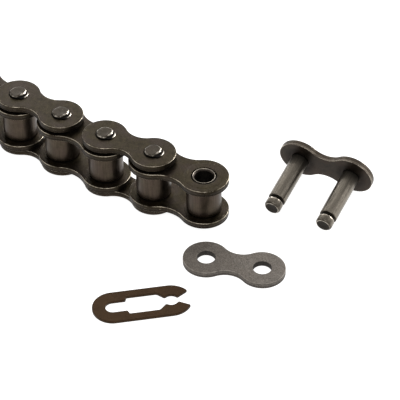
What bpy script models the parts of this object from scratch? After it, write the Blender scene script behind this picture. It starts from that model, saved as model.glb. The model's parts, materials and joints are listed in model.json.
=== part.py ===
"""Roller drive chain for a motorcycle, lying on its side, with its spring-clip connecting link.

A run of inner and outer links laid in a gentle bow, pins upright, ending in an inner link at
both ends, and beside it the loose connecting link, its cover plate and its spring clip.
Run it in Blender 4.5:  blender --background --python part.py

Frame: metres, +Z up and along the chain's pins, +X along the chain towards its bent end,
origin at the bottom centre of everything's bounding box. The chain rests on its rivet heads.
"""

import math

import bmesh
import bpy
from mathutils import Vector

MM = 0.001

# ---- Driving dimensions: a 5/8 x 3/8 inch chain, the 530 size --------------------------------
PITCH = 15.875 * MM              # pin to pin
INNER_WIDTH = 9.80 * MM          # between the inner plates
PLATE_THICKNESS = 1.8 * MM
PIN_RADIUS = 2.54 * MM
ROLLER_RADIUS = 4.95 * MM
BUSHING_RADIUS = 3.55 * MM
INNER_PLATE_HEIGHT = 14.25 * MM
OUTER_PLATE_HEIGHT = 12.95 * MM
INNER_WAIST = 9.6 * MM           # narrowest part of a plate, midway between its holes
OUTER_WAIST = 7.3 * MM

# ---- Clearances ------------------------------------------------------------------------------
PIN_CLEARANCE = 0.08 * MM        # radial, pin in bushing
ROLLER_CLEARANCE = 0.10 * MM     # radial, roller on bushing
ROLLER_END_PLAY = 0.15 * MM      # roller to inner plate
PRESS_GAP = 0.05 * MM            # radial, between pieces that are pressed together
LOWER_PLATE_GAP = 0.10 * MM      # inner link sunk onto the lower outer plates
UPPER_PLATE_GAP = 0.70 * MM      # so the side play is all on the upper side
BUSHING_STAND_OUT = 0.05 * MM    # a bushing stands proud of its inner plate

# ---- Rivet heads of the pins -----------------------------------------------------------------
HEAD_STAND_OUT = 0.75 * MM       # beyond the outer plate
HEAD_TOP_RADIUS = 2.50 * MM
HEAD_FLANGE_RADIUS = 3.05 * MM
HEAD_FLANGE_HEIGHT = 0.30 * MM
HEAD_GAP = 0.03 * MM             # under the flange

# ---- How the chain lies ----------------------------------------------------------------------
LINK_COUNT = 9                   # inner, outer, inner ... and inner again at the far end
FIRST_LINK_HEADING = 185.7       # degrees about +Z, from the chain's bent end inwards
REST_BENDS = (-2.8, -5.5, -0.6, 0.0, 0.0, 0.0, 0.0, 0.0)   # degrees, at each pin in turn

# ---- Connecting link, its cover plate and its spring clip ------------------------------------
CLIP_THICKNESS = 0.8 * MM
CLIP_PLAY = 0.15 * MM            # the pins' grooves are this much wider than the clip
GROOVE_RADIUS = 1.85 * MM
TIP_RADIUS = 2.40 * MM
TIP_LENGTH = 2.40 * MM           # beyond the groove
TIP_CHAMFER = 0.40 * MM
COVER_GAP = 0.20 * MM            # each side of the cover plate when the link is closed
COVER_HOLE_RADIUS = 2.60 * MM
CONNECTING_PLACE = (20.91 * MM, 31.49 * MM)      # from the end bushing, under the plate's face
CONNECTING_HEADING = 5.8
COVER_PLACE = (17.70 * MM, -12.09 * MM)
COVER_HEADING = 17.3
CLIP_PLACE = (-0.71 * MM, -43.76 * MM)           # centre of the slot's closed end
CLIP_HEADING = 43.4
CLIP_HALF_WIDTH = 5.70 * MM
CLIP_CLOSED_END = -5.60 * MM     # the clip's round end, from the slot's closed end
CLIP_HOLE_RADIUS = 2.00 * MM     # slot's round end, and notch between the teeth
CLIP_SLOT_STEP = 3.70 * MM       # the slot's narrow end runs to here
CLIP_SLOT_HALF_WIDTH = 3.25 * MM
CLIP_TOOTH = 14.10 * MM          # inner tooth, before the open end's notch
CLIP_TOOTH_GAP = 1.50 * MM       # half the gap between the inner teeth
CLIP_MOUTH = 17.75 * MM          # outer tooth
CLIP_MOUTH_GAP = 1.00 * MM
CLIP_POINT = (20.75 * MM, 2.85 * MM)
CLIP_SHOULDER = 15.60 * MM       # the outer edges are straight up to here

# ---- Worked out ------------------------------------------------------------------------------
PLATE_GAPS = LOWER_PLATE_GAP + UPPER_PLATE_GAP
PIN_LENGTH = INNER_WIDTH + 4 * PLATE_THICKNESS + PLATE_GAPS + 2 * HEAD_STAND_OUT
LOWER_OUTER_Z = HEAD_STAND_OUT
LOWER_INNER_Z = LOWER_OUTER_Z + PLATE_THICKNESS + LOWER_PLATE_GAP
UPPER_INNER_Z = LOWER_INNER_Z + PLATE_THICKNESS + INNER_WIDTH
UPPER_OUTER_Z = UPPER_INNER_Z + PLATE_THICKNESS + UPPER_PLATE_GAP
INNER_SPAN = INNER_WIDTH + 2 * PLATE_THICKNESS + 2 * BUSHING_STAND_OUT
GROOVE_START = INNER_SPAN + 2 * COVER_GAP + PLATE_THICKNESS
GROOVE_END = GROOVE_START + CLIP_THICKNESS + CLIP_PLAY
CONNECTING_PIN_REACH = GROOVE_END + TIP_LENGTH
PIN_SLOPE = math.atan2(OUTER_PLATE_HEIGHT / 2 - TIP_RADIUS, CONNECTING_PIN_REACH - TIP_CHAMFER)

ROUND_SEGMENTS = 20
ROLLER_SEGMENTS = 24
LOBE_SEGMENTS = 12
WAIST_SEGMENTS = 4

COLOURS = {
    "plate_steel": (0.075, 0.063, 0.052),
    "roller_steel": (0.105, 0.086, 0.074),
    "bushing_steel": (0.120, 0.105, 0.095),
    "pin_steel": (0.130, 0.110, 0.098),
    "connecting_steel": (0.110, 0.090, 0.075),
    "cover_steel": (0.150, 0.132, 0.115),
    "clip_steel": (0.070, 0.042, 0.024),
}


# ---- Outlines --------------------------------------------------------------------------------
def arc(centre, radius, start, end, segments):
    """Points on an arc from start to end, in radians, both ends included."""
    points = []
    for i in range(segments + 1):
        angle = start + (end - start) * i / segments
        x = centre[0] + radius * math.cos(angle)
        y = centre[1] + radius * math.sin(angle)
        points.append((x, y))
    return points


def plate_outline(height, waist):
    """A figure-of-eight link plate, holes at x = 0 and x = PITCH: two lobes and two waist arcs."""
    lobe = height / 2
    half_waist = waist / 2
    half_pitch = PITCH / 2
    waist_radius = (half_pitch ** 2 + half_waist ** 2 - lobe ** 2) / (2 * (lobe - half_waist))
    waist_y = half_waist + waist_radius
    meet = math.atan2(waist_y, half_pitch)
    turn = math.pi / 2 - meet
    outline = arc((PITCH, 0), lobe, meet - math.pi, math.pi - meet, LOBE_SEGMENTS)
    outline += arc((half_pitch, waist_y), waist_radius, -math.pi / 2 + turn,
                   -math.pi / 2 - turn, WAIST_SEGMENTS)[1:-1]
    outline += arc((0, 0), lobe, meet, 2 * math.pi - meet, LOBE_SEGMENTS)
    outline += arc((half_pitch, -waist_y), waist_radius, math.pi / 2 + turn,
                   math.pi / 2 - turn, WAIST_SEGMENTS)[1:-1]
    return outline


def circle(x, radius):
    """A round hole's points, centred at (x, 0)."""
    return arc((x, 0), radius, 0, 2 * math.pi, ROUND_SEGMENTS)[:-1]


def clip_outline():
    """The spring clip: a round closed end, a stepped slot, and two legs with teeth and points."""
    end_x = CLIP_CLOSED_END + CLIP_HALF_WIDTH
    run = CLIP_POINT[0] - CLIP_SHOULDER
    drop = CLIP_HALF_WIDTH - CLIP_POINT[1]
    shoulder_radius = (run ** 2 + drop ** 2) / (2 * drop)
    shoulder_turn = math.asin(run / shoulder_radius)
    slope_start = CLIP_TOOTH - (CLIP_SLOT_HALF_WIDTH - CLIP_TOOTH_GAP)
    tooth_turn = math.asin(CLIP_TOOTH_GAP / CLIP_HOLE_RADIUS)

    half = arc((end_x, 0), CLIP_HALF_WIDTH, math.pi, math.pi / 2, 10)
    half += arc((CLIP_SHOULDER, CLIP_HALF_WIDTH - shoulder_radius), shoulder_radius,
                math.pi / 2, math.pi / 2 - shoulder_turn, 5)
    half.append((CLIP_MOUTH, CLIP_MOUTH_GAP))
    half += arc((PITCH, 0), CLIP_HOLE_RADIUS, math.pi / 4, math.pi - tooth_turn, 5)
    half.append((CLIP_TOOTH, CLIP_TOOTH_GAP))
    half.append((slope_start, CLIP_SLOT_HALF_WIDTH))
    half.append((CLIP_SLOT_STEP + 0.5 * MM, CLIP_SLOT_HALF_WIDTH))
    half.append((CLIP_SLOT_STEP, CLIP_HOLE_RADIUS))
    half += arc((0, 0), CLIP_HOLE_RADIUS, math.pi / 2, math.pi, 5)
    return half + [(x, -y) for x, y in half[-2:0:-1]]


# ---- Objects ---------------------------------------------------------------------------------
def material(name):
    """The named steel, made once and shared by the pieces that use it."""
    if name in bpy.data.materials:
        return bpy.data.materials[name]
    steel = bpy.data.materials.new(name)
    steel.use_nodes = True
    shader = steel.node_tree.nodes["Principled BSDF"]
    shader.inputs["Base Color"].default_value = (*COLOURS[name], 1)
    shader.inputs["Metallic"].default_value = 0.9
    shader.inputs["Roughness"].default_value = 0.42
    return steel


def finish(bm, name, steel, parent, place):
    """Turn a bmesh into a named object under its parent, shaded smooth with sharp edges."""
    bmesh.ops.remove_doubles(bm, verts=bm.verts, dist=0.001 * MM)
    bmesh.ops.recalc_face_normals(bm, faces=bm.faces)
    mesh = bpy.data.meshes.new(name)
    bm.to_mesh(mesh)
    bm.free()
    mesh.materials.append(material(steel))
    mesh.shade_smooth()
    mesh.set_sharp_from_angle(angle=math.radians(35))
    piece = bpy.data.objects.new(name, mesh)
    bpy.context.collection.objects.link(piece)
    piece.parent = parent
    piece.location = place
    return piece


def add_loop(bm, points):
    """A closed loop of edges through the points, at z = 0."""
    verts = [bm.verts.new((x, y, 0)) for x, y in points]
    return [bm.edges.new((verts[i - 1], verts[i])) for i in range(len(verts))]


def pressed_plate(name, steel, parent, outline, holes, thickness, z):
    """A flat piece stamped from plate: its outline with round holes, raised to its thickness."""
    bm = bmesh.new()
    edges = add_loop(bm, outline)
    for x, radius in holes:
        edges += add_loop(bm, circle(x, radius))
    bmesh.ops.triangle_fill(bm, use_beauty=True, use_dissolve=False, edges=edges)
    raised = bmesh.ops.extrude_face_region(bm, geom=bm.faces[:], use_keep_orig=True)
    top = [item for item in raised["geom"] if isinstance(item, bmesh.types.BMVert)]
    bmesh.ops.translate(bm, verts=top, vec=(0, 0, thickness))
    return finish(bm, name, steel, parent, (0, 0, z))


def turned(name, steel, parent, profile, place, segments, bore=False):
    """A turned piece about its own Z: a (radius, z) profile, closed by flat ends or by a bore."""
    bm = bmesh.new()
    verts = [bm.verts.new((radius, 0, z)) for radius, z in profile]
    edges = [bm.edges.new(pair) for pair in zip(verts, verts[1:])]
    if bore:
        edges.append(bm.edges.new((verts[-1], verts[0])))
    bmesh.ops.spin(bm, geom=verts + edges, cent=(0, 0, 0), axis=(0, 0, 1), dvec=(0, 0, 0),
                   angle=math.tau, steps=segments, use_merge=True, use_duplicate=False)
    bmesh.ops.remove_doubles(bm, verts=bm.verts, dist=0.001 * MM)
    if not bore:
        bmesh.ops.holes_fill(bm, edges=[edge for edge in bm.edges if edge.is_boundary], sides=0)
    return finish(bm, name, steel, parent, place)


def tube(name, steel, parent, outer, inner, low, high, x, segments):
    """A plain round tube standing on its link at x."""
    profile = [(inner, low), (outer, low), (outer, high), (inner, high)]
    return turned(name, steel, parent, profile, (x, 0, 0), segments, bore=True)


def frame_empty(name, parent, place, rotation=(0, 0, 0)):
    """An empty that carries one moving body, its origin on the body's joint."""
    empty = bpy.data.objects.new(name, None)
    empty.empty_display_size = 5 * MM
    bpy.context.collection.objects.link(empty)
    empty.parent = parent
    empty.location = place
    empty.rotation_euler = rotation
    return empty


# ---- Chain -----------------------------------------------------------------------------------
def inner_link(number, first, frame):
    """Two inner plates pressed onto two bushings, with a roller free to turn on each bushing."""
    outline = plate_outline(INNER_PLATE_HEIGHT, INNER_WAIST)
    hole = BUSHING_RADIUS + PRESS_GAP
    holes = [(0, hole), (PITCH, hole)]
    for side, z in (("bottom", LOWER_INNER_Z), ("top", UPPER_INNER_Z)):
        pressed_plate(f"inner_plate_{side}_{number}", "plate_steel", frame, outline, holes,
                      PLATE_THICKNESS, z)
    bushing_low = LOWER_INNER_Z - BUSHING_STAND_OUT
    bushing_bore = PIN_RADIUS + PIN_CLEARANCE
    roller_low = LOWER_INNER_Z + PLATE_THICKNESS + ROLLER_END_PLAY
    for i, x in enumerate((0, PITCH)):
        tube(f"bushing_{first + i}", "bushing_steel", frame, BUSHING_RADIUS, bushing_bore,
             bushing_low, bushing_low + INNER_SPAN, x, ROUND_SEGMENTS)
        tube(f"roller_{first + i}", "roller_steel", frame, ROLLER_RADIUS,
             BUSHING_RADIUS + ROLLER_CLEARANCE, roller_low,
             UPPER_INNER_Z - ROLLER_END_PLAY, x, ROLLER_SEGMENTS)


def rivet_pin_profile():
    """A pin with a round flange and a narrower head beyond the plate at each end."""
    flange = HEAD_STAND_OUT - HEAD_GAP
    head = flange - HEAD_FLANGE_HEIGHT
    half = [(HEAD_TOP_RADIUS, 0), (HEAD_TOP_RADIUS, head), (HEAD_FLANGE_RADIUS, head),
            (HEAD_FLANGE_RADIUS, flange), (PIN_RADIUS, flange)]
    return half + [(radius, PIN_LENGTH - z) for radius, z in reversed(half)]


def outer_link(number, first, frame):
    """Two outer plates held by two pins, which turn in the neighbouring links' bushings."""
    outline = plate_outline(OUTER_PLATE_HEIGHT, OUTER_WAIST)
    hole = PIN_RADIUS + PRESS_GAP
    holes = [(0, hole), (PITCH, hole)]
    for side, z in (("bottom", LOWER_OUTER_Z), ("top", UPPER_OUTER_Z)):
        pressed_plate(f"outer_plate_{side}_{number}", "plate_steel", frame, outline, holes,
                      PLATE_THICKNESS, z)
    for i, x in enumerate((0, PITCH)):
        turned(f"rivet_pin_{first + i}", "pin_steel", frame, rivet_pin_profile(), (x, 0, 0),
               ROUND_SEGMENTS)


def chain(base):
    """The run of links, each one's frame hinged on the far pin of the link before it."""
    frame = frame_empty("inner_link_1_frame", base, (0, 0, 0),
                        (0, 0, math.radians(FIRST_LINK_HEADING)))
    inner_link(1, 1, frame)
    for i in range(1, LINK_COUNT):
        kind = "outer" if i % 2 else "inner"
        number = i // 2 + 1
        bend = math.radians(REST_BENDS[i - 1])
        frame = frame_empty(f"{kind}_link_{number}_frame", frame, (PITCH, 0, 0), (0, 0, bend))
        if kind == "outer":
            outer_link(number, 2 * number - 1, frame)
        else:
            inner_link(number, 2 * number - 1, frame)


# ---- Connecting link -------------------------------------------------------------------------
def connecting_pin_profile():
    """A connecting pin along +Z from the plate's face: head, shaft, clip groove, chamfered tip."""
    back = -PLATE_THICKNESS - HEAD_STAND_OUT
    flange = -PLATE_THICKNESS - HEAD_GAP
    return [
        (HEAD_TOP_RADIUS, back),
        (HEAD_TOP_RADIUS, flange - HEAD_FLANGE_HEIGHT),
        (HEAD_FLANGE_RADIUS, flange - HEAD_FLANGE_HEIGHT),
        (HEAD_FLANGE_RADIUS, flange),
        (PIN_RADIUS, flange),
        (PIN_RADIUS, GROOVE_START),
        (GROOVE_RADIUS, GROOVE_START),
        (GROOVE_RADIUS, GROOVE_END),
        (TIP_RADIUS, GROOVE_END),
        (TIP_RADIUS, CONNECTING_PIN_REACH - TIP_CHAMFER),
        (TIP_RADIUS - TIP_CHAMFER, CONNECTING_PIN_REACH),
    ]


def connecting_link(base):
    """The loose link: one outer plate with two grooved pins, leaning on its rim and pin tips."""
    rim_height = OUTER_PLATE_HEIGHT / 2 * math.cos(PIN_SLOPE)
    frame = frame_empty("connecting_link_frame", base, (*CONNECTING_PLACE, rim_height),
                        (math.pi / 2 + PIN_SLOPE, 0, math.radians(CONNECTING_HEADING)))
    across = frame_empty("connecting_link_pitch", frame, (-PITCH / 2, 0, 0))
    hole = PIN_RADIUS + PRESS_GAP
    pressed_plate("connecting_plate", "connecting_steel", across,
                  plate_outline(OUTER_PLATE_HEIGHT, OUTER_WAIST), [(0, hole), (PITCH, hole)],
                  PLATE_THICKNESS, -PLATE_THICKNESS)
    for i, x in enumerate((0, PITCH)):
        turned(f"connecting_pin_{i + 1}", "pin_steel", across, connecting_pin_profile(),
               (x, 0, 0), ROUND_SEGMENTS)


def cover_plate(base):
    """The loose plate that closes the connecting link."""
    frame = frame_empty("cover_plate_frame", base, (*COVER_PLACE, 0),
                        (0, 0, math.radians(COVER_HEADING)))
    across = frame_empty("cover_plate_pitch", frame, (-PITCH / 2, 0, 0))
    pressed_plate("cover_plate", "cover_steel", across,
                  plate_outline(OUTER_PLATE_HEIGHT, OUTER_WAIST),
                  [(0, COVER_HOLE_RADIUS), (PITCH, COVER_HOLE_RADIUS)], PLATE_THICKNESS, 0)


def spring_clip(base):
    """The loose clip that locks the cover plate onto the connecting pins."""
    frame = frame_empty("spring_clip_frame", base, (*CLIP_PLACE, 0),
                        (0, 0, math.radians(CLIP_HEADING)))
    pressed_plate("spring_clip", "clip_steel", frame, clip_outline(), [], CLIP_THICKNESS, 0)


def centre_on_floor(base):
    """Move everything so that its bounding box stands centred on the origin."""
    bpy.context.view_layer.update()
    corners = []
    for piece in bpy.data.objects:
        if piece.type == "MESH":
            corners += [piece.matrix_world @ vert.co for vert in piece.data.vertices]
    low = Vector([min(corner[i] for corner in corners) for i in range(3)])
    high = Vector([max(corner[i] for corner in corners) for i in range(3)])
    base.location = (-(low.x + high.x) / 2, -(low.y + high.y) / 2, -low.z)
    bpy.context.view_layer.update()


for old in list(bpy.data.objects):
    bpy.data.objects.remove(old, do_unlink=True)

base = frame_empty("chain_set", None, (0, 0, 0))
chain(base)
connecting_link(base)
cover_plate(base)
spring_clip(base)
centre_on_floor(base)
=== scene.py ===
"""Looks for the motorcycle drive chain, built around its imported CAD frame.

Every CAD solid is stood for by a finer mesh of the same size in the same place: stamped plates
with rolled edges and a torn shear zone, curled bushings with their seam, round-ended rollers,
pins with heads staked flat on two sides, and the loose connecting link with its cover and clip.
"""

import json
import math

import bmesh
import bpy
import numpy as np
from mathutils import Matrix, Vector, noise

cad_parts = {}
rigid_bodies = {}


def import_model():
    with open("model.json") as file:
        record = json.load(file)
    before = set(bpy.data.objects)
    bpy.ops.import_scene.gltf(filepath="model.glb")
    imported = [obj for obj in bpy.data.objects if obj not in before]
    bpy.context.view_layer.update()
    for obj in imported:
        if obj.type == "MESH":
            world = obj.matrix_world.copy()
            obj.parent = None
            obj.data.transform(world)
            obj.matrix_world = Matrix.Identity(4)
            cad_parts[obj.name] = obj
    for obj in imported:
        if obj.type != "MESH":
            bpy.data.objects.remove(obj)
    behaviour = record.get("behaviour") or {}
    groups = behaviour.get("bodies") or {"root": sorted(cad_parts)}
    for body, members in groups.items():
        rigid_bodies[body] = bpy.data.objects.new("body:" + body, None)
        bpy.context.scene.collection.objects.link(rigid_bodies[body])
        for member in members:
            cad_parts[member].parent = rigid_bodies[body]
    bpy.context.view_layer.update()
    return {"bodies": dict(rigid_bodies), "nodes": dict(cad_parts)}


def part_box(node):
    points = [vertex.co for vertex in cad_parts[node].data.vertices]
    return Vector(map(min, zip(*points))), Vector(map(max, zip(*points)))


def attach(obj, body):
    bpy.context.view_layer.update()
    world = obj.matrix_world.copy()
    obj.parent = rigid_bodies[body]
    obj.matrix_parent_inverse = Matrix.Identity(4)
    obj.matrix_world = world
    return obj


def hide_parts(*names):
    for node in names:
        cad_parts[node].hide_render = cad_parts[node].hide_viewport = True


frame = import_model()

MM = 0.001
SAME = 0.01 * MM                 # lengths nearer than this count as one
GOLDEN_SHARE = 0.618             # spreads the pieces' patterns

# ---- Rounds and edges ------------------------------------------------------------------------
ROUND_SEGMENTS = 72
LOBE_SEGMENTS = 60
WAIST_SEGMENTS = 14
EDGE_STEPS = 5
SUPPORT = 0.28 * MM              # flat margin kept beside every rounded edge
TOP_ROLL = 0.20 * MM             # die-rolled upper edge of a stamped plate
BOTTOM_ROLL = 0.12 * MM
LOWER_ROLL = 0.32 * MM           # of the lower outer plates, whose rolled edge is underneath
HOLE_ROLL = 0.15 * MM
HOLE_WEAR = 0.3
HOLE_SOOT_AND_SHADE = -0.75                # wear below zero is soot and oil with painted shade; here, painted shade down a hole's wall
HOLE_SOOT_AND_SHADE_START = 0.12 * MM      # from a hole's rolled edge
SCUFF_WIDTH = 0.50 * MM          # of the scuffed margin of a stamped plate's face
SCUFF_WEAR = 0.26
TEAR_INSET = 0.05 * MM           # the torn part of a sheared wall stands back this far
TEAR_STEP = 0.05 * MM            # half the height of the step between torn and smooth
TEAR_SHARE = 0.42                # of the wall's height
TEAR_WEAR = 0.30
TEAR_WANDER = 0.10               # the tear line wanders by this share of the height
TEAR_NOISE_SCALE = 900
MITRE_LIMIT = 0.5                # keeps a sharp corner's inset point from running away
RUB_RING_RADIUS = 5.75 * MM      # trace of the outer plate's end on an inner plate
RUB_RING_WIDTH = 0.45 * MM
RUB_RING_DEPTH = 0.02 * MM
RUB_RING_WEAR = 0.16


# ---- Reading the frame -----------------------------------------------------------------------
def points_of(*nodes):
    """The distinct corners of these CAD nodes, in the row frame."""
    corners = [vert.co[:] for node in nodes for vert in frame["nodes"][node].data.vertices]
    return np.unique(np.round(np.array(corners, float), 8), axis=0)


def centre_of(*nodes):
    """The middle of these CAD nodes' distinct corners."""
    return Vector(points_of(*nodes).mean(axis=0))


def frame_matrix(origin, along, up):
    """A place whose x runs along and whose z points up, in the row frame."""
    z_axis = up.normalized()
    x_axis = (along - along.dot(z_axis) * z_axis).normalized()
    y_axis = z_axis.cross(x_axis)
    turn = Matrix((x_axis, y_axis, z_axis)).transposed().to_4x4()
    return Matrix.Translation(origin) @ turn


def local_points(place, node):
    """The distinct corners of a CAD node, seen from a place."""
    corners = points_of(node)
    inverse = np.array(place.inverted())
    return corners @ inverse[:3, :3].T + inverse[:3, 3]


def radii_and_heights(place, node):
    """Distance from the place's upright axis, and height over the place, of each corner."""
    corners = local_points(place, node)
    return np.hypot(corners[:, 0], corners[:, 1]), corners[:, 2]


UP = Vector((0, 0, 1))


def link_place(near, far, plate):
    """A link's place: origin on its near axis at the plate's underside, x towards the far axis."""
    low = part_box(plate)[0].z
    start = centre_of(near)
    along = centre_of(far) - start
    return frame_matrix(Vector((start.x, start.y, low)), Vector((along.x, along.y, 0)), UP)


# ---- Outlines --------------------------------------------------------------------------------
def arc(centre, radius, start, end, segments):
    """Points on an arc from start to end, in radians, both ends included."""
    angles = [start + (end - start) * i / segments for i in range(segments + 1)]
    return [(centre[0] + radius * math.cos(a), centre[1] + radius * math.sin(a)) for a in angles]


def plate_outline(pitch, lobe, half_waist):
    """A figure-of-eight link plate, holes at x = 0 and x = pitch."""
    half_pitch = pitch / 2
    waist_radius = (half_pitch ** 2 + half_waist ** 2 - lobe ** 2) / (2 * (lobe - half_waist))
    waist_y = half_waist + waist_radius
    meet = math.atan2(waist_y, half_pitch)
    turn = math.pi / 2 - meet
    outline = arc((pitch, 0), lobe, meet - math.pi, math.pi - meet, LOBE_SEGMENTS)
    outline += arc((half_pitch, waist_y), waist_radius, -math.pi / 2 + turn,
                   -math.pi / 2 - turn, WAIST_SEGMENTS)[1:-1]
    outline += arc((0, 0), lobe, meet, 2 * math.pi - meet, LOBE_SEGMENTS)
    outline += arc((half_pitch, -waist_y), waist_radius, math.pi / 2 + turn,
                   math.pi / 2 - turn, WAIST_SEGMENTS)[1:-1]
    return outline


def inset(outline, distance):
    """The outline moved inwards by a distance, each point along its corner's bisector."""
    moved = []
    for i, point in enumerate(outline):
        before = Vector(point) - Vector(outline[i - 1])
        after = Vector(outline[(i + 1) % len(outline)]) - Vector(point)
        inward = Vector((-before.y, before.x)).normalized() + Vector((-after.y, after.x)).normalized()
        inward.normalize()
        share = max(MITRE_LIMIT, inward.dot(Vector((-before.y, before.x)).normalized()))
        moved.append(tuple(Vector(point) + inward * (distance / share)))
    return moved


def fillet(outline, radii, segments=5):
    """The outline with each corner named in radii {index: radius} rounded off."""
    rounded = []
    for i, point in enumerate(outline):
        if i not in radii:
            rounded.append(point)
            continue
        corner = Vector(point)
        back = (Vector(outline[i - 1]) - corner).normalized()
        ahead = (Vector(outline[(i + 1) % len(outline)]) - corner).normalized()
        half_angle = back.angle(ahead) / 2
        reach = radii[i] / math.tan(half_angle)
        centre = corner + (back + ahead).normalized() * (radii[i] / math.sin(half_angle))
        first = corner + back * reach - centre
        turn = first.angle_signed(corner + ahead * reach - centre)
        for step in range(segments + 1):
            swing = Matrix.Rotation(-turn * step / segments, 2)
            rounded.append(tuple(centre + swing @ first))
    return rounded


# ---- Building meshes -------------------------------------------------------------------------
def new_mesh():
    """A bmesh whose vertices carry a finish (wear and painted light, zone, seed) and a position on
    the piece.
    """
    bm = bmesh.new()
    bm.verts.layers.float_vector.new("local")
    return bm, bm.verts.layers.float_vector.new("finish")


def add_ring(bm, layer, points, wear_and_painted_light_values, zone):
    """A ring of vertices, each with its wear and painted light and its zone for the material.

    Wear goes from -1, soot and painted shade, to 1, rubbed bright and in places a painted highlight.
    Zone goes from 0, a face, to 1, a torn wall, a bore or a bare shaft, which have a tone of their
    own; in a bushing's bore that tone is painted shade.
    """
    ring = []
    for point, wear_and_painted_light in zip(points, wear_and_painted_light_values):
        vert = bm.verts.new(point)
        vert[layer] = (wear_and_painted_light, zone, 0)
        ring.append(vert)
    return ring


def bridge(bm, rings, closed=False):
    """Quads between each ring and the next, and from the last to the first if closed."""
    pairs = list(zip(rings, rings[1:]))
    if closed:
        pairs.append((rings[-1], rings[0]))
    for lower, upper in pairs:
        for i in range(len(lower)):
            bm.faces.new((lower[i - 1], lower[i], upper[i], upper[i - 1]))


def ring_edges(bm, ring):
    """The edges between a ring's neighbouring vertices."""
    return [bm.edges.get((ring[i - 1], ring[i])) for i in range(len(ring))]


def finish(bm, node, place, slot, body):
    """Turn a bmesh into the piece that stands for a CAD node, riding on that node's body."""
    layer = bm.verts.layers.float_vector["finish"]
    local = bm.verts.layers.float_vector["local"]
    seed = (sum(map(ord, node)) * GOLDEN_SHARE) % 1
    for vert in bm.verts:
        vert[layer].z = seed
        vert[local] = vert.co
    bm.transform(place)
    bmesh.ops.recalc_face_normals(bm, faces=bm.faces)
    mesh = bpy.data.meshes.new(f"{node}_finished")
    bm.to_mesh(mesh)
    bm.free()
    mesh.materials.append(MATERIALS[slot])
    mesh.shade_smooth()
    piece = bpy.data.objects.new(f"{node}_finished", mesh)
    bpy.context.scene.collection.objects.link(piece)
    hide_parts(node)
    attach(piece, body)


def rolled_edge(radius, face, facing, wear_and_painted_light=1.0, zone=0.0):
    """A rounded edge from wall to face, as (inset, z, wear, zone), its wear partly a painted
    highlight; facing is +1 up or -1 down.
    """
    steps = []
    for i in range(EDGE_STEPS + 1):
        angle = math.pi / 2 * i / EDGE_STEPS
        z = face - facing * radius * (1 - math.sin(angle))
        steps.append((radius * (1 - math.cos(angle)), z, wear_and_painted_light * math.sin(2 * angle) ** 2, zone))
    return steps


def sheared_wall(thickness, top_roll, flipped):
    """A stamped wall from the underside's flat margin to the upper face's; or upside down.

    Its steps are (inset, z, wear, zone). Above the torn part the wall is sheared smooth.
    """
    tear = TEAR_SHARE * thickness
    wall = [(BOTTOM_ROLL + SUPPORT, 0, 0, 0)]
    wall += rolled_edge(BOTTOM_ROLL, 0, -1, zone=0.6)[::-1]
    wall += [
        (0.7 * TEAR_INSET, 0.55 * tear, 0, 1),
        (TEAR_INSET, tear - TEAR_STEP, 0, 1),
        (0, tear + TEAR_STEP, TEAR_WEAR, 0.3),
        (0, tear + 4 * TEAR_STEP, 0, 0.5),
        (0, thickness - top_roll - 2 * TEAR_STEP, 0, 0.5),
    ]
    wall += rolled_edge(top_roll, thickness, 1)
    wall += [
        (top_roll + SUPPORT, thickness, SCUFF_WEAR, 0),
        (top_roll + SUPPORT + SCUFF_WIDTH, thickness, 0, 0),
    ]
    if flipped:
        return [(step, thickness - z, wear_and_painted_light, zone) for step, z, wear_and_painted_light, zone in reversed(wall)]
    return wall


def hole_wall(thickness, roll, rings=()):
    """A hole's wall from the upper face to the underside, as (growth of radius, z, wear, zone).

    The rings are steps on the upper face, from the outermost inwards, before the hole's margin.
    """
    wall = list(rings)
    wall.append((roll + SUPPORT, thickness, rings[-1][2] if rings else 0, 0))
    wall += rolled_edge(roll, thickness, 1, wear_and_painted_light=HOLE_WEAR)[::-1]
    # the hole's wall, painted dark as shade
    wall += [
        (0, thickness - roll - HOLE_SOOT_AND_SHADE_START, HOLE_SOOT_AND_SHADE, 0),
        (0, roll + HOLE_SOOT_AND_SHADE_START, HOLE_SOOT_AND_SHADE, 0),
    ]
    wall += rolled_edge(roll, 0, -1, wear_and_painted_light=HOLE_WEAR)
    wall.append((roll + SUPPORT, 0, 0, 0))
    return wall


def stamped(node, place, slot, body, outline, holes, wall, hole_rings):
    """A piece stamped from plate: its outline's wall, its holes' walls, and two flat faces."""
    bm, layer = new_mesh()
    tear_height = TEAR_WANDER * (wall[-1][1] - wall[0][1])
    rings = []
    for step, z, wear_and_painted_light, zone in wall:
        points = []
        for x, y in inset(outline, step):
            spot = Vector((x, y, place.translation.x)) * TEAR_NOISE_SCALE
            wander = noise.noise(spot) if zone == 1 else 0
            points.append((x, y, z + tear_height * wander))
        rings.append(add_ring(bm, layer, points, [wear_and_painted_light] * len(points), zone))
    bridge(bm, rings)
    upper = ring_edges(bm, rings[-1])
    lower = ring_edges(bm, rings[0])
    for x, radius in holes:
        bore = []
        for growth, z, wear_and_painted_light, zone in hole_rings:
            circle = arc((x, 0), radius + growth, 0, 2 * math.pi, ROUND_SEGMENTS)[:-1]
            points = [(px, py, z) for px, py in circle]
            bore.append(add_ring(bm, layer, points, [wear_and_painted_light] * len(points), zone))
        bridge(bm, bore)
        upper += ring_edges(bm, bore[0])
        lower += ring_edges(bm, bore[-1])
    for edges in (upper, lower):
        bmesh.ops.triangle_fill(bm, use_beauty=True, use_dissolve=False, edges=edges)
    finish(bm, node, place, slot, body)


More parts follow.
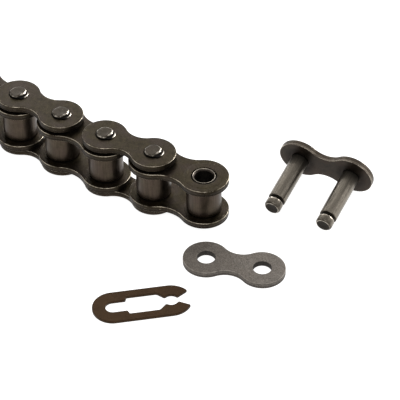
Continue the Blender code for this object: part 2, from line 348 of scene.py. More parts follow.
def turned(node, place, slot, body, profile, closed=False, shape=None):
    """A turned piece about its place's z, of (radius, z, wear, zone) steps.

    shape(step, radius, wear, angle) may change the radius and the wear by angle.
    """
    bm, layer = new_mesh()
    angles = [2 * math.pi * i / ROUND_SEGMENTS for i in range(ROUND_SEGMENTS)]
    rings = []
    for step, (radius, z, wear_and_painted_light, zone) in enumerate(profile):
        points, wear_and_painted_light_values = [], []
        for angle in angles:
            reach, shown = shape(step, radius, wear_and_painted_light, angle) if shape else (radius, wear_and_painted_light)
            points.append((reach * math.cos(angle), reach * math.sin(angle), z))
            wear_and_painted_light_values.append(shown)
        rings.append(add_ring(bm, layer, points, wear_and_painted_light_values, zone))
    bridge(bm, rings, closed)
    if not closed:
        bm.faces.new(rings[0])
        bm.faces.new(rings[-1])
    finish(bm, node, place, slot, body)


# ---- Materials -------------------------------------------------------------------------------
def node_in(tree, kind, inputs, **settings):
    """A shader node with its settings, and its inputs set or linked by name or number."""
    made = tree.nodes.new(kind)
    for key, value in settings.items():
        setattr(made, key, value)
    for key, value in inputs.items():
        if isinstance(value, bpy.types.NodeSocket):
            tree.links.new(value, made.inputs[key])
        else:
            made.inputs[key].default_value = value
    return made


def math_node(tree, operation, first, second, clamp=False):
    """The result of a sum, a difference or a product of two values."""
    made = node_in(tree, "ShaderNodeMath", {0: first, 1: second}, operation=operation)
    made.use_clamp = clamp
    return made.outputs[0]


def spread(tree, value, low, high, to_low=0.0, to_high=1.0):
    """The value's range low..high stretched to to_low..to_high."""
    inputs = {"Value": value, "From Min": low, "From Max": high, "To Min": to_low,
              "To Max": to_high}
    return node_in(tree, "ShaderNodeMapRange", inputs, clamp=True).outputs["Result"]


def mixed(tree, factor, first, second, blend="MIX"):
    """Two colours mixed."""
    made = node_in(tree, "ShaderNodeMix", {}, data_type="RGBA", blend_type=blend)
    for index, value in ((0, factor), (6, first), (7, second)):
        if isinstance(value, bpy.types.NodeSocket):
            tree.links.new(value, made.inputs[index])
        elif index == 0:
            made.inputs[index].default_value = value
        else:
            made.inputs[index].default_value = (*value, 1)
    return made.outputs[2]


SOOT_AND_SHADE = (0.006, 0.005, 0.004)     # oil and scale, and painted shade, in corners, holes, bores and under the heads, where wear is below zero
MOTTLE_SCALE = 620
PATCH_SCALE = 210
SPECK_SCALE = 3300
LINE_SCALE = 2600
LINE_STRETCH = 0.06              # scale along z, the way the lines run
RUB_SCALE = 340
NOISE_LOW, NOISE_HIGH = 0.3, 0.7     # nearly all of a noise's values lie between these
BUMP_DEPTH = 0.018 * MM


def clouds(tree, spot, scale, depth, rough=0.6):
    """Fractal noise at a spot."""
    inputs = {"Vector": spot, "Scale": scale, "Detail": depth, "Roughness": rough}
    return node_in(tree, "ShaderNodeTexNoise", inputs).outputs["Fac"]


def by_noise(tree, pattern, low, high):
    """A value that goes from low to high with a noise."""
    return spread(tree, pattern, NOISE_LOW, NOISE_HIGH, low, high)


def piece_finish(tree):
    """The wear and painted light and the zone here, and the spot on the piece, shifted by the piece's
    seed.
    """
    detail = node_in(tree, "ShaderNodeAttribute", {}, attribute_name="finish")
    split = node_in(tree, "ShaderNodeSeparateXYZ", {0: detail.outputs["Vector"]})
    wear_and_painted_light, zone, seed = split.outputs
    place = node_in(tree, "ShaderNodeAttribute", {}, attribute_name="local").outputs["Vector"]
    shift = node_in(tree, "ShaderNodeCombineXYZ", {0: seed, 1: seed, 2: seed}).outputs[0]
    spot = node_in(tree, "ShaderNodeVectorMath", {0: place, 1: shift}, operation="ADD").outputs[0]
    return wear_and_painted_light, zone, spot


def patterns(tree, spot):
    """Mottle, tinted patches, fine specks, and lines drawn along z."""
    drawn = node_in(tree, "ShaderNodeVectorMath", {0: spot, 1: (1, 1, LINE_STRETCH)},
                    operation="MULTIPLY").outputs[0]
    return (clouds(tree, spot, MOTTLE_SCALE, 5), clouds(tree, spot, PATCH_SCALE, 3),
            clouds(tree, spot, SPECK_SCALE, 3, 0.7), clouds(tree, drawn, LINE_SCALE, 3, 0.65))


def rubbed_and_highlight_share(tree, wear_and_painted_light, spot, mottle, specks):
    """How much bright steel shows through, as real wear and as painted highlight: the wear, broken up
    by the patterns.
    """
    uneven = spread(tree, clouds(tree, spot, RUB_SCALE, 2), 0.36, 0.64, 0.65, 1.25)
    rubbed_and_highlight = math_node(tree, "MULTIPLY", wear_and_painted_light, uneven)
    rubbed_and_highlight = math_node(tree, "ADD", rubbed_and_highlight, by_noise(tree, specks, -0.35, 0.2))
    rubbed_and_highlight = math_node(tree, "ADD", rubbed_and_highlight, by_noise(tree, mottle, -0.3, 0.2))
    return spread(tree, rubbed_and_highlight, 0.25, 0.9)


def grained(tree, colour, specks, lines, grain, streaks):
    """The colour, lighter and darker with the specks and the drawn lines."""
    shade = math_node(tree, "ADD", by_noise(tree, specks, 1 - grain, 1 + grain),
                      by_noise(tree, lines, -streaks, streaks))
    grey = node_in(tree, "ShaderNodeCombineColor", {0: shade, 1: shade, 2: shade}).outputs[0]
    return mixed(tree, 1.0, colour, grey, "MULTIPLY")


def pitted(tree, mottle, specks, lines):
    """A normal roughened by the patterns."""
    height = math_node(tree, "ADD", math_node(tree, "MULTIPLY", specks, 0.6),
                       math_node(tree, "MULTIPLY", lines, 0.8))
    height = math_node(tree, "ADD", height, math_node(tree, "MULTIPLY", mottle, 0.8))
    inputs = {"Height": height, "Strength": 0.5, "Distance": BUMP_DEPTH}
    return node_in(tree, "ShaderNodeBump", inputs).outputs["Normal"]


def steel(name, dark, light, tint, worn_and_highlight, zone_tone, roughness, zone_roughness, grain, streaks,
          metallic=0.95):
    """Heat-darkened steel: mottled, tinted in patches, worn bright along edges and in painted
    highlights, darkened by soot and painted shade, finely pitted.
    """
    made = bpy.data.materials.new(name)
    made.use_nodes = True
    tree = made.node_tree
    shader = tree.nodes["Principled BSDF"]
    wear_and_painted_light, zone, spot = piece_finish(tree)
    mottle, patches, specks, lines = patterns(tree, spot)
    rubbed_and_highlight = rubbed_and_highlight_share(tree, wear_and_painted_light, spot, mottle, specks)
    # soot and painted shade: how far the colour goes towards near-black where wear is below zero
    soot_and_shade = spread(tree, wear_and_painted_light, 0.0, -1.0)

    colour = mixed(tree, spread(tree, mottle, 0.34, 0.66), dark, light)
    colour = mixed(tree, spread(tree, patches, 0.42, 0.62), colour, tint)
    colour = mixed(tree, zone, colour, zone_tone)
    colour = grained(tree, colour, specks, lines, grain, streaks)
    # rubbed steel, and painted highlights in the same colour
    colour = mixed(tree, rubbed_and_highlight, colour, worn_and_highlight)
    colour = mixed(tree, soot_and_shade, colour, SOOT_AND_SHADE)

    rough = by_noise(tree, mottle, roughness - 0.07, roughness + 0.07)
    rough = math_node(tree, "ADD", rough, math_node(tree, "MULTIPLY", zone, zone_roughness))
    rough = math_node(tree, "SUBTRACT", rough, math_node(tree, "MULTIPLY", rubbed_and_highlight, 0.12))
    rough = math_node(tree, "ADD", rough, math_node(tree, "MULTIPLY", soot_and_shade, 0.3), clamp=True)

    tree.links.new(colour, shader.inputs["Base Color"])
    tree.links.new(rough, shader.inputs["Roughness"])
    tree.links.new(pitted(tree, mottle, specks, lines), shader.inputs["Normal"])
    shader.inputs["Metallic"].default_value = metallic
    return made


# Each worn colour is rubbed steel and also the colour of painted highlights on edges, head bevels,
# ears and bushing lands.
MATERIALS = {
    "plate_steel": steel(
        "plate_steel_finish", dark=(0.019, 0.014, 0.007), light=(0.040, 0.031, 0.017),
        tint=(0.034, 0.025, 0.018), worn_and_highlight=(0.48, 0.42, 0.33), zone_tone=(0.020, 0.015, 0.010),
        roughness=0.40, zone_roughness=0.12, grain=0.38, streaks=0.20),
    "roller_steel": steel(
        "roller_steel_finish", dark=(0.045, 0.035, 0.024), light=(0.067, 0.051, 0.036),
        tint=(0.059, 0.043, 0.033), worn_and_highlight=(0.22, 0.18, 0.15), zone_tone=(0.04, 0.03, 0.024),
        roughness=0.36, zone_roughness=0.05, grain=0.12, streaks=0.20),
    # the bushing's dark zone tone is painted shade in its bore and on its chamfers
    "bushing_steel": steel(
        "bushing_steel_finish", dark=(0.050, 0.041, 0.034), light=(0.075, 0.062, 0.050),
        tint=(0.060, 0.048, 0.040), worn_and_highlight=(0.46, 0.41, 0.34), zone_tone=(0.015, 0.012, 0.010),
        roughness=0.34, zone_roughness=0.1, grain=0.12, streaks=0.10),
    "pin_steel": steel(
        "pin_steel_finish", dark=(0.028, 0.023, 0.016), light=(0.050, 0.042, 0.031),
        tint=(0.040, 0.032, 0.024), worn_and_highlight=(0.66, 0.60, 0.52), zone_tone=(0.19, 0.168, 0.138),
        roughness=0.38, zone_roughness=-0.06, grain=0.20, streaks=0.28),
    "connecting_steel": steel(
        "connecting_steel_finish", dark=(0.013, 0.009, 0.006), light=(0.032, 0.024, 0.017),
        tint=(0.028, 0.018, 0.012), worn_and_highlight=(0.70, 0.62, 0.52), zone_tone=(0.125, 0.105, 0.084),
        roughness=0.42, zone_roughness=0.0, grain=0.24, streaks=0.14),
    "cover_steel": steel(
        "cover_steel_finish", dark=(0.116, 0.101, 0.086), light=(0.176, 0.156, 0.136),
        tint=(0.149, 0.129, 0.110), worn_and_highlight=(0.30, 0.27, 0.24), zone_tone=(0.055, 0.047, 0.040),
        roughness=0.62, zone_roughness=0.10, grain=0.55, streaks=0.18, metallic=0.55),
    "clip_steel": steel(
        "clip_steel_finish", dark=(0.029, 0.0155, 0.007), light=(0.046, 0.026, 0.013),
        tint=(0.043, 0.024, 0.011), worn_and_highlight=(0.012, 0.009, 0.007), zone_tone=(0.020, 0.013, 0.009),
        roughness=0.40, zone_roughness=0.10, grain=0.16, streaks=0.08),
}


# ---- Plates ----------------------------------------------------------------------------------
WAIST_ZONE = 0.05                # of the pitch, to each side of the middle, where a waist is measured


def plate_sizes(place, pitch, plate):
    """A link plate's thickness, lobe radius, half waist and hole radius, from the frame."""
    corners = local_points(place, plate)
    distance, _ = radii_and_heights(place, plate)
    middle = np.abs(corners[:, 0] - pitch / 2) < WAIST_ZONE * pitch
    return (np.ptp(corners[:, 2]), np.abs(corners[:, 1]).max(),
            np.abs(corners[middle, 1]).min(), distance.min())


def link_plate(node, place, pitch, slot, body, top_roll=TOP_ROLL, hole_roll=HOLE_ROLL, rings=(),
               flipped=False):
    """A figure-of-eight plate in its place, its underside at local z = 0."""
    thickness, lobe, half_waist, hole = plate_sizes(place, pitch, node)
    outline = plate_outline(pitch, lobe, half_waist)
    stamped(node, place, slot, body, outline, [(0, hole), (pitch, hole)],
            sheared_wall(thickness, top_roll, flipped), hole_wall(thickness, hole_roll, rings))


def rub_rings(hole, thickness):
    """The faint ring that the next link's plate has rubbed round a hole."""
    middle = RUB_RING_RADIUS - hole
    half = RUB_RING_WIDTH / 2
    return [
        (middle + half, thickness, 0, 0),
        (middle + 0.5 * half, thickness - RUB_RING_DEPTH, RUB_RING_WEAR, 0),
        (middle - 0.5 * half, thickness - RUB_RING_DEPTH, RUB_RING_WEAR, 0),
        (middle - half, thickness, 0, 0),
        (middle - 4 * half, thickness, 0.03, 0),
    ]


# ---- Bushings and rollers --------------------------------------------------------------------
BUSHING_OUTER_CHAMFER = 0.40 * MM
BUSHING_LAND = 0.12 * MM
BUSHING_INNER_DROP = 0.48 * MM
SEAM_ANGLE = 3.9
SEAM_TURN = 0.07                 # half its width, in radians
SEAM_DEPTH = 0.14 * MM
BORE_JOIN = 1 * MM               # the halves of a bore's profile meet this far below the middle
ROLLER_ROUND = 0.55 * MM
ROLLER_BORE_CHAMFER = 0.25 * MM
ROLLER_CROWN = 0.03 * MM
ROLLER_RIM_WEAR = 0.35


def both_ends(half, low, high):
    """A closed profile from its upper half, which starts in the bore, and that half mirrored."""
    return half + [(radius, low + high - z, wear_and_painted_light, zone) for radius, z, wear_and_painted_light, zone in half[:0:-1]]


def bushing(node, place, body):
    """A curled bushing, its ends chamfered to a thin land and its seam along one side."""
    radius, height = radii_and_heights(place, node)
    outer, bore, low, high = radius.max(), radius.min(), height.min(), height.max()
    land = outer - BUSHING_OUTER_CHAMFER
    inner = land - BUSHING_LAND
    shoulder = high - BUSHING_INNER_DROP
    half = [
        # the bore, painted dark as shade
        (bore, (low + high) / 2 - BORE_JOIN, -0.4, 0.5),
        (bore, shoulder - 0.30 * MM, -0.3, 0.3),
        (bore, shoulder, -0.45, 0.3),
        # the inner chamfer, painted dark as shade
        (bore + 0.04 * MM, shoulder + 0.08 * MM, -0.5, 0.2),
        (inner - 0.05 * MM, high - 0.07 * MM, -0.2, 0),
        # the land, worn bright and partly painted as a highlight
        (inner, high - 0.02 * MM, 0.9, 0),
        (inner + 0.03 * MM, high, 1, 0),
        (land - 0.03 * MM, high, 1, 0),
        (land, high - 0.02 * MM, 0.9, 0),
        # the outer chamfer, painted dark as the shade of the gap, down to where the plate grips it
        (land + 0.08 * MM, high - 0.07 * MM, -0.7, 0.3),
        (outer - 0.06 * MM, high - 0.28 * MM, -1, 0.3),
        (outer, high - BUSHING_OUTER_CHAMFER, -1, 0.3),
        (outer, high - 2 * BUSHING_OUTER_CHAMFER, 0, 0),
    ]

    def seam(_, reach, wear_and_painted_light, angle):
        gap = SEAM_DEPTH * math.exp(-((angle - SEAM_ANGLE) / SEAM_TURN) ** 2)
        return (reach + gap if reach < inner else reach - gap), wear_and_painted_light

    turned(node, place, "bushing_steel", body, both_ends(half, low, high), closed=True, shape=seam)


def roller(node, place, body):
    """A round-ended roller with a faintly crowned wall."""
    radius, height = radii_and_heights(place, node)
    outer, bore, low, high = radius.max(), radius.min(), height.min(), height.max()
    half = [
        (bore, (low + high) / 2 - BORE_JOIN, 0, 1),
        (bore, high - ROLLER_BORE_CHAMFER - 0.20 * MM, 0, 1),
        (bore, high - ROLLER_BORE_CHAMFER, 0, 0.5),
        (bore + ROLLER_BORE_CHAMFER, high - 0.02 * MM, 0.2, 0),
        (bore + ROLLER_BORE_CHAMFER + 0.03 * MM, high, 0, 0),
    ]
    for step, z, wear_and_painted_light, zone in reversed(rolled_edge(ROLLER_ROUND, high, 1, ROLLER_RIM_WEAR)):
        half.append((outer - ROLLER_CROWN - step, z, wear_and_painted_light, zone))
    half += [
        (outer - 0.6 * ROLLER_CROWN, high - ROLLER_ROUND - 0.60 * MM, 0, 0),
        (outer, (low + high) / 2 + 1.50 * MM, 0.05, 0),
    ]
    turned(node, place, "roller_steel", body, both_ends(half, low, high), closed=True)


# ---- Pins ------------------------------------------------------------------------------------
STAKE_ANGLE = math.radians(164)  # the deeper of two staked flats faces this way
NEAR_FLAT = 1.85 * MM            # from the pin's axis to the deeper flat
FAR_FLAT = 2.35 * MM             # and to the shallower one, on the opposite side
HEAD_BEVEL = 0.36 * MM
HEAD_DISH = 0.04 * MM
HEAD_DISH_STEPS = ((1.1 * MM, 0.7), (0.5 * MM, 1), (0.08 * MM, 1))   # radius, share of its depth
EAR_HEIGHT = 0.34 * MM
EAR_ROOT = 0.02 * MM             # where it fades out, an ear stands this far outside the shaft
EAR_REACH = (0.55, 1.15)         # in radians, before and after the staked direction
EAR_BLEND = 0.25
EAR_SHADE_BLEND = 0.3             # from the ear's side painted bright as a highlight to its side painted dark as shade
FAR_EAR = 0.25                   # the shallower flat's ear, as a share of the deeper one's
FACET_TURN = math.radians(38)    # from the staked direction to a bevel rubbed bright and painted bright as a highlight
FACET_LIMIT = math.radians(60)   # the bevel is cut no further than this from its direction
FACET_HALF_WIDTH = 0.50
FACET_TOP = 1.88 * MM            # from the pin's axis to the bevel's upper edge
FACET_RUN = 1.1                  # the bevel's run for its fall
FACET_SHOULDER = 1.2 * HEAD_BEVEL    # in from the head's edge, where its top becomes flat
RIM_WEAR_AND_HIGHLIGHT = 0.55                  # wear of the head's rim elsewhere, partly a painted highlight
END_ZONE = 0.1 * MM              # corners this near a piece's end belong to it
TINY = 1e-6


def stake_turn(angle):
    """The turn from the staked direction's line to this direction, between -90 and 90 degrees."""
    return (angle - STAKE_ANGLE + math.pi / 2) % math.pi - math.pi / 2


def eased(value):
    """Zero to one, with a soft start and end."""
    value = min(1, max(0, value))
    return value * value * (3 - 2 * value)


def head_steps(pin, flange, top, foot, tip, facing):
    """A staked head from the pin's shaft to the middle of its top face.

    Each step is (kind, radius, z, wear, zone): an ear and its ledge are pushed out beside the
    flats only, a flat step is cut by them, and the rest is round.
    """
    ear_top = foot + facing * EAR_HEIGHT
    bevel = HEAD_BEVEL
    edge = tip - facing * bevel
    steps = [
        # the shaft, painted dark as shade where it leaves the plate
        ("round", pin, foot - facing * 0.60 * MM, 0, 0),
        ("round", pin, foot + facing * 0.02 * MM, -1, 0),
        # the ear, its rim painted bright as a highlight, and the ledge above it painted dark as shade
        ("ear", flange - 0.08 * MM, foot + facing * 0.03 * MM, -1, 0),
        ("ear", flange, foot + facing * 0.08 * MM, 0.3, 0),
        ("ear", flange, foot + facing * 0.14 * MM, 0.9, 0),
        ("ear", flange - 0.07 * MM, foot + facing * 0.24 * MM, 1, 0),
        ("ear", flange - 0.20 * MM, ear_top, 0.9, 0),
        ("ledge", flange - 0.34 * MM, ear_top - facing * 0.02 * MM, -0.6, 0.3),
        # the head's wall, painted dark as shade at its foot
        ("flat", top + 0.06 * MM, ear_top - facing * 0.06 * MM, -1, 0.3),
        ("flat", top, ear_top, -0.8, 0.3),
        ("flat", top, edge, 0, 0),
        # its bevel
        ("flat", top - bevel * 0.10, edge + facing * bevel * 0.38, 0.9, 0),
        ("flat", top - bevel * 0.38, edge + facing * bevel * 0.74, 1, 0),
        ("flat", top - bevel * 0.80, edge + facing * bevel * 0.94, 0.9, 0),
        ("flat", top - bevel * 1.15, tip, 0.3, 0),
        ("flat", top - bevel * 1.80, tip, 0, 0),
    ]
    for radius, share in HEAD_DISH_STEPS:
        steps.append(("disc", radius, tip - facing * HEAD_DISH * share, 0, 0))
    return steps


def ear_shape(kind, radius, wear_and_painted_light, pin, turn, near):
    """How far a step of an ear or its ledge reaches at a turn from the stake, and its wear, with
    painted shade on the ledge, the far ear and one side of the near ear.
    """
    share = eased((EAR_REACH[turn > 0] - abs(turn)) / EAR_BLEND) * (1 if near else FAR_EAR)
    root = min(radius, pin + EAR_ROOT)
    # painted shade: the ledge, the far ear and one side of the near ear go dark
    painted_shade = eased(0.5 - turn / EAR_SHADE_BLEND) if kind == "ear" and near else 1
    return root + (radius - root) * share, wear_and_painted_light - painted_shade * (1 + wear_and_painted_light)


def flat_shape(radius, wear_and_painted_light, drop, top, angle, turn, near):
    """How far a step reaches where the staked flats and the rubbed bevel cut it, and its wear, the
    rim and bevel partly a painted highlight.
    """
    distance = NEAR_FLAT if near else FAR_FLAT
    reach = min(radius, (distance - top + radius) / max(math.cos(turn), TINY))
    across = (angle - STAKE_ANGLE - FACET_TURN + math.pi) % (2 * math.pi) - math.pi
    facet = FACET_TOP + FACET_RUN * drop - max(0, top - FACET_SHOULDER - radius)
    if abs(across) < FACET_LIMIT:
        reach = min(reach, facet / math.cos(across))
    rubbed_and_highlight = RIM_WEAR_AND_HIGHLIGHT + (1 - RIM_WEAR_AND_HIGHLIGHT) * eased(2 - abs(across) / FACET_HALF_WIDTH)
    return reach, wear_and_painted_light * rubbed_and_highlight if wear_and_painted_light > 0 else wear_and_painted_light


def head_shape(kind, radius, wear_and_painted_light, drop, pin, top, angle):
    """How far a head's step, a drop below the tip, reaches at an angle, and its wear there."""
    turn = stake_turn(angle)
    near = math.cos(angle - STAKE_ANGLE) > 0
    if kind in ("ear", "ledge"):
        return ear_shape(kind, radius, wear_and_painted_light, pin, turn, near)
    if kind == "flat":
        return flat_shape(radius, wear_and_painted_light, drop, top, angle, turn, near)
    return radius, wear_and_painted_light


def staked_pin(node, place, slot, body, steps, pin, top):
    """A pin built of (kind, radius, z, wear, zone) steps from one end to the other."""
    low, high = steps[0][2], steps[-1][2]

    def shape(step, radius, wear_and_painted_light, angle):
        kind, _, z, _, _ = steps[step]
        drop = max(0, min(z - low, high - z) - HEAD_DISH)
        return head_shape(kind, radius, wear_and_painted_light, drop, pin, top, angle)

    turned(node, place, slot, body, [step[1:] for step in steps], shape=shape)


def pin_radii(place, node):
    """A pin's head, flange and shaft radii and its two ends, from the frame."""
    radius, height = radii_and_heights(place, node)
    head = radius[height < height.min() + END_ZONE].max()
    flange = radius.max()
    between = radius[(radius > head + SAME) & (radius < flange - SAME)]
    return head, flange, between.min(), height.min(), height.max()


def rivet_pin(node, place, body, plate_low, plate_high):
    """A pin riveted through both outer plates, staked flat on two sides at each end."""
    top, flange, shaft, low, high = pin_radii(place, node)
    lower = head_steps(shaft, flange, top, plate_low, low, -1)
    upper = head_steps(shaft, flange, top, plate_high, high, 1)
    staked_pin(node, place, "pin_steel", body, lower[::-1] + upper, shaft, top)


# ---- The chain -------------------------------------------------------------------------------
def inner_link(number):
    """Two plates pressed onto two bushings, and the rollers that turn on those."""
    body = f"inner_link_{number}"
    axes = (2 * number - 1, 2 * number)
    pitch = (centre_of(f"roller_{axes[1]}") - centre_of(f"roller_{axes[0]}")).length
    for side in ("bottom", "top"):
        plate = f"inner_plate_{side}_{number}"
        place = link_place(f"roller_{axes[0]}", f"roller_{axes[1]}", plate)
        thickness, _, _, hole = plate_sizes(place, pitch, plate)
        link_plate(plate, place, pitch, "plate_steel", body, rings=rub_rings(hole, thickness))
    for axis, x in zip(axes, (0, pitch)):
        standing = place @ Matrix.Translation((x, 0, 0))
        bushing(f"bushing_{axis}", standing, body)
        roller(f"roller_{axis}", standing, f"roller_{axis}")


def outer_link(number):
    """Two plates and the pins riveted through them."""
    body = f"outer_link_{number}"
    axes = (2 * number - 1, 2 * number)
    near, far = (f"rivet_pin_{axis}" for axis in axes)
    pitch = (centre_of(far) - centre_of(near)).length
    lower_plate, upper_plate = f"outer_plate_bottom_{number}", f"outer_plate_top_{number}"
    for plate in (lower_plate, upper_plate):
        link_plate(plate, link_place(near, far, plate), pitch, "plate_steel", body,
                   top_roll=TOP_ROLL if plate == upper_plate else LOWER_ROLL,
                   flipped=plate == lower_plate)
    place = link_place(near, far, lower_plate)
    plate_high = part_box(upper_plate)[1].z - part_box(lower_plate)[0].z
    for axis, x in zip(axes, (0, pitch)):
        standing = place @ Matrix.Translation((x, 0, 0))
        rivet_pin(f"rivet_pin_{axis}", standing, body, 0, plate_high)


INNER_LINKS = sum(name.startswith("inner_link") for name in frame["bodies"])
OUTER_LINKS = sum(name.startswith("outer_link") for name in frame["bodies"])
for number in range(1, INNER_LINKS + 1):
    inner_link(number)
for number in range(1, OUTER_LINKS + 1):
    outer_link(number)


# ---- Connecting link -------------------------------------------------------------------------
PIN_SHADE_WIDTH = 2.6 * MM           # of the painted shade round each pin, on the plate's inner face
PIN_SHADE_WEAR = -0.45


def connecting_link():
    """The loose link: its plate, and two pins riveted in it with a clip groove near each tip."""
    body = "connecting_link"
    first, second = "connecting_pin_1", "connecting_pin_2"
    plate_centre = centre_of("connecting_plate")
    along = centre_of(second) - centre_of(first)
    outward = centre_of(first, second) - plate_centre
    middle = frame_matrix(plate_centre, along, outward)
    thickness = np.ptp(local_points(middle, "connecting_plate")[:, 2])
    pitch = along.length
    place = middle @ Matrix.Translation((-pitch / 2, 0, -thickness / 2))
    # painted shade round each pin on the plate's inner face
    pin_shade = [(PIN_SHADE_WIDTH, thickness, 0, 0), (0.4 * PIN_SHADE_WIDTH, thickness, PIN_SHADE_WEAR, 0)]
    link_plate("connecting_plate", place, pitch, "connecting_steel", body, top_roll=LOWER_ROLL,
               rings=pin_shade, flipped=True)
    for node, x in ((first, 0), (second, pitch)):
        connecting_pin(node, place @ Matrix.Translation((x, 0, 0)), body, thickness)


def connecting_pin(node, place, body, face):
    """A connecting pin: staked head behind the plate, shaft, clip groove, chamfered tip."""
    top, flange, shaft, low, high = pin_radii(place, node)
    radius, height = radii_and_heights(place, node)
    groove = radius.min()
    groove_low = height[radius < groove + SAME].min()
    groove_high = height[radius < groove + SAME].max()
    tip = radius[height > groove_high].max()
    lower = head_steps(shaft, flange, top, 0, low, -1)
    plain = [
        # the shaft, painted dark as shade beside the plate and plain further out
        (shaft, face + 0.02 * MM, -1, 0),
        (shaft, face + 0.45 * MM, -0.75, 0.6),
        (shaft, face + 1.80 * MM, -0.5, 0.8),
        (shaft, face + 4.00 * MM, -0.1, 1),
        (shaft, (face + groove_low) / 2, 0, 1),
        (shaft, groove_low - 0.30 * MM, 0, 1),
        (shaft, groove_low - 0.08 * MM, 0.3, 1),
        # the clip groove
        (shaft - 0.08 * MM, groove_low, 0.4, 0),
        (groove + 0.10 * MM, groove_low + 0.01 * MM, -0.8, 0),
        (groove, groove_low + 0.10 * MM, -0.8, 0),
        (groove, groove_high - 0.10 * MM, -0.8, 0),
        (groove + 0.10 * MM, groove_high - 0.01 * MM, -0.6, 0),
        (tip - 0.08 * MM, groove_high, 0.4, 0),
        # the tip's wall
        (tip, groove_high + 0.08 * MM, 0.7, 1),
        (tip, groove_high + 0.50 * MM, 0.3, 1),
        (tip, high - 0.62 * MM, 0.1, 0.7),
        # its chamfer
        (tip - 0.03 * MM, high - 0.48 * MM, 0.3, 0.5),
        (tip - 0.20 * MM, high - 0.22 * MM, 0, 0.3),
        (tip - 0.38 * MM, high - 0.03 * MM, 0.6, 0),
        (tip - 0.46 * MM, high, 0.7, 0),
        # its dark end face
        (tip - 0.58 * MM, high, -0.6, 0),
        (1.00 * MM, high - 0.03 * MM, -0.7, 0),
        (0.40 * MM, high - 0.06 * MM, -0.7, 0),
        (0.06 * MM, high - 0.06 * MM, -0.7, 0),
    ]
    steps = lower[::-1] + [("round", *step) for step in plain]
    staked_pin(node, place, "pin_steel", body, steps, shaft, top)


connecting_link()


# ---- Cover plate -----------------------------------------------------------------------------
def flat_place(node):
    """The place of a loose flat piece lying down: under its middle, with x along its length."""
    corners = points_of(node)
    flat = corners[:, :2] - corners[:, :2].mean(axis=0)
    _, _, axes = np.linalg.svd(flat, full_matrices=False)
    along = axes[0] * (1 if axes[0][0] > 0 else -1)
    middle = corners.mean(axis=0)
    return frame_matrix(Vector((middle[0], middle[1], corners[:, 2].min())), Vector((*along, 0)), UP)


COVER_ROLL = 0.22 * MM
COVER_HOLE_ROLL = 0.06 * MM


def cover_plate():
    """The loose plate, lying on the ground."""
    middle = flat_place("cover_plate")
    pitch = (centre_of("connecting_pin_2") - centre_of("connecting_pin_1")).length
    place = middle @ Matrix.Translation((-pitch / 2, 0, 0))
    link_plate("cover_plate", place, pitch, "cover_steel", "cover_plate", top_roll=COVER_ROLL,
               hole_roll=COVER_HOLE_ROLL)


cover_plate()


# ---- Spring clip -----------------------------------------------------------------------------
CLIP_HALF_WIDTH = 5.68 * MM
CLIP_CLOSED_END = -5.58 * MM     # the clip's round end, from the slot's closed end
CLIP_SLOT_STEP = 3.70 * MM       # the slot's narrow end runs to here
CLIP_STEP_RUN = 0.50 * MM        # and widens over this
CLIP_SLOT_HALF_WIDTH = 3.25 * MM
CLIP_HOLE_RADIUS = 2.00 * MM     # slot's round end, and notch between the teeth
CLIP_TOOTH = 14.10 * MM
CLIP_TOOTH_GAP = 1.50 * MM
CLIP_MOUTH = 17.75 * MM
CLIP_MOUTH_GAP = 1.00 * MM
CLIP_POINT = (20.75 * MM, 2.85 * MM)
CLIP_SHOULDER = 15.60 * MM
CLIP_ROLL = 0.11 * MM
CLIP_SUPPORT = 0.12 * MM
CLIP_CORNER = 0.28 * MM
CLIP_INNER_CORNERS = (0.14 * MM, 1.0 * MM, 0.30 * MM, 0.22 * MM)   # tooth, slope, step, step


def clip_outline(pitch):
    """The clip's outline: a round closed end, a stepped slot, and two legs with teeth."""
    end_x = CLIP_CLOSED_END + CLIP_HALF_WIDTH
    run = CLIP_POINT[0] - CLIP_SHOULDER
    drop = CLIP_HALF_WIDTH - CLIP_POINT[1]
    shoulder_radius = (run ** 2 + drop ** 2) / (2 * drop)
    shoulder_turn = math.asin(run / shoulder_radius)
    slope_start = CLIP_TOOTH - (CLIP_SLOT_HALF_WIDTH - CLIP_TOOTH_GAP)
    tooth_turn = math.asin(CLIP_TOOTH_GAP / CLIP_HOLE_RADIUS)

    half = arc((end_x, 0), CLIP_HALF_WIDTH, math.pi, math.pi / 2, segments=24)
    half += arc((CLIP_SHOULDER, CLIP_HALF_WIDTH - shoulder_radius), shoulder_radius,
                math.pi / 2, math.pi / 2 - shoulder_turn, segments=12)
    corners = {len(half) - 1: CLIP_CORNER, len(half): CLIP_CORNER}
    half.append((CLIP_MOUTH, CLIP_MOUTH_GAP))
    half += arc((pitch, 0), CLIP_HOLE_RADIUS, math.pi / 4, math.pi - tooth_turn, segments=14)
    for step, radius in enumerate(CLIP_INNER_CORNERS):
        corners[len(half) + step] = radius
    half.append((CLIP_TOOTH, CLIP_TOOTH_GAP))
    half.append((slope_start, CLIP_SLOT_HALF_WIDTH))
    half.append((CLIP_SLOT_STEP + CLIP_STEP_RUN, CLIP_SLOT_HALF_WIDTH))
    half.append((CLIP_SLOT_STEP, CLIP_HOLE_RADIUS))
    half += arc((0, 0), CLIP_HOLE_RADIUS, math.pi / 2, math.pi, segments=16)
    rounded = fillet(half, corners)
    return (rounded + [(x, -y) for x, y in rounded[-2:0:-1]])[::-1]


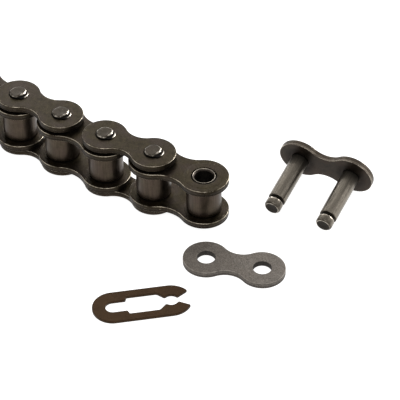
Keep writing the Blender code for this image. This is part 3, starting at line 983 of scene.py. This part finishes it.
def spring_clip():
    """The flat clip, its x from the slot's closed end towards its open end.

    The open end is the one whose tips stand further apart.
    """
    middle = flat_place("spring_clip")
    corners = local_points(middle, "spring_clip")
    ends = []
    for sign in (1, -1):
        along = sign * corners[:, 0]
        tips = corners[along > along.max() - END_ZONE]
        ends.append((np.abs(tips[:, 1]).max(), sign, along.max()))
    _, sign, reach = max(ends)
    turn = Matrix.Rotation(0 if sign > 0 else math.pi, 4, "Z")
    place = middle @ turn @ Matrix.Translation((reach - CLIP_POINT[0], 0, 0))
    thickness = np.ptp(corners[:, 2])
    pitch = (centre_of("connecting_pin_2") - centre_of("connecting_pin_1")).length
    wall = [(CLIP_ROLL + CLIP_SUPPORT, 0, 0, 0)]
    wall += rolled_edge(CLIP_ROLL, 0, -1)[::-1]
    wall += [(0, 0.4 * thickness, 0, 0.7), (0, 0.55 * thickness, 0.2, 0)]
    wall += rolled_edge(CLIP_ROLL, thickness, 1)
    wall.append((CLIP_ROLL + CLIP_SUPPORT, thickness, 0.05, 0))
    stamped("spring_clip", place, "clip_steel", "spring_clip", clip_outline(pitch), [], wall, [])


spring_clip()


# ---- Camera ----------------------------------------------------------------------------------
LENS = 176.8
SENSOR_WIDTH = 36
CLIP_START = 0.01
CAMERA_HEADING = math.radians(33)
CAMERA_ELEVATION = math.radians(40.8)
CAMERA_DISTANCE = 0.55975
AIM_FROM_END = Vector((-5.445 * MM, 6.402 * MM, 0))


def camera():
    """The view: aimed at a point on the ground beside the chain's bent end, which it returns."""
    end = centre_of("roller_1")
    aim = Vector((end.x, end.y, 0)) + AIM_FROM_END
    level = CAMERA_DISTANCE * math.cos(CAMERA_ELEVATION)
    data = bpy.data.cameras.new("camera")
    data.lens = LENS
    data.sensor_width = SENSOR_WIDTH
    data.clip_start = CLIP_START
    eye = bpy.data.objects.new("camera", data)
    eye.location = aim + Vector((level * math.sin(CAMERA_HEADING),
                                 -level * math.cos(CAMERA_HEADING),
                                 CAMERA_DISTANCE * math.sin(CAMERA_ELEVATION)))
    eye.rotation_euler = (math.pi / 2 - CAMERA_ELEVATION, 0, CAMERA_HEADING)
    bpy.context.scene.collection.objects.link(eye)
    bpy.context.scene.camera = eye
    return aim


AIM = camera()


# ---- Studio ----------------------------------------------------------------------------------
LIGHT_DISTANCE = 0.6
# name, azimuth and elevation in degrees, width, height, radiance
LIGHTS = (
    ("key_right", 30, 18, 0.30, 0.20, 14.0),
    ("back", 80, 44, 0.45, 0.34, 1.6),
    ("back_left", 107, 21, 0.18, 0.14, 6.0),
    ("front", -95, 52, 0.34, 0.26, 2.6),
    ("left", 185, 27, 0.35, 0.30, 1.6),
)
FLOOR_HALF_SIZE = 3
FLOOR_TONE = 0.55
FLOOR_ROUGHNESS = 0.8
FLOOR_GLOW = 0.86
ROOM_COLOUR = (1, 0.99, 0.97)
ROOM_STRENGTH = 0.55


def soft_light(name, azimuth, elevation, width, height, radiance):
    """A rectangular soft light facing the object.

    Its azimuth is in degrees from the camera's right towards the way it looks.
    """
    level = LIGHT_DISTANCE * math.cos(math.radians(elevation))
    heading = math.radians(azimuth) + CAMERA_HEADING
    offset = Vector((level * math.cos(heading), level * math.sin(heading),
                     LIGHT_DISTANCE * math.sin(math.radians(elevation))))
    data = bpy.data.lights.new(name, "AREA")
    data.shape = "RECTANGLE"
    data.size = width
    data.size_y = height
    data.energy = radiance * math.pi * width * height
    light = bpy.data.objects.new(name, data)
    light.location = AIM + offset
    light.rotation_euler = (-offset).to_track_quat("-Z", "Y").to_euler()
    bpy.context.scene.collection.objects.link(light)


def floor():
    """A plain white table that glows a little, so that shadows on it stay faint."""
    bm = bmesh.new()
    bmesh.ops.create_grid(bm, x_segments=1, y_segments=1, size=FLOOR_HALF_SIZE)
    mesh = bpy.data.meshes.new("floor")
    bm.to_mesh(mesh)
    bm.free()
    table = bpy.data.objects.new("floor", mesh)
    bpy.context.scene.collection.objects.link(table)
    white = bpy.data.materials.new("floor_white")
    white.use_nodes = True
    shader = white.node_tree.nodes["Principled BSDF"]
    shader.inputs["Base Color"].default_value = (FLOOR_TONE, FLOOR_TONE, FLOOR_TONE, 1)
    shader.inputs["Roughness"].default_value = FLOOR_ROUGHNESS
    shader.inputs["Emission Color"].default_value = (1, 1, 1, 1)
    shader.inputs["Emission Strength"].default_value = FLOOR_GLOW
    mesh.materials.append(white)


def room():
    """A white room round the table."""
    world = bpy.data.worlds.new("room")
    bpy.context.scene.world = world
    world.use_nodes = True
    background = world.node_tree.nodes["Background"]
    background.inputs["Color"].default_value = (*ROOM_COLOUR, 1)
    background.inputs["Strength"].default_value = ROOM_STRENGTH


floor()
room()
for light in LIGHTS:
    soft_light(*light)
bpy.context.scene.view_settings.view_transform = "Standard"
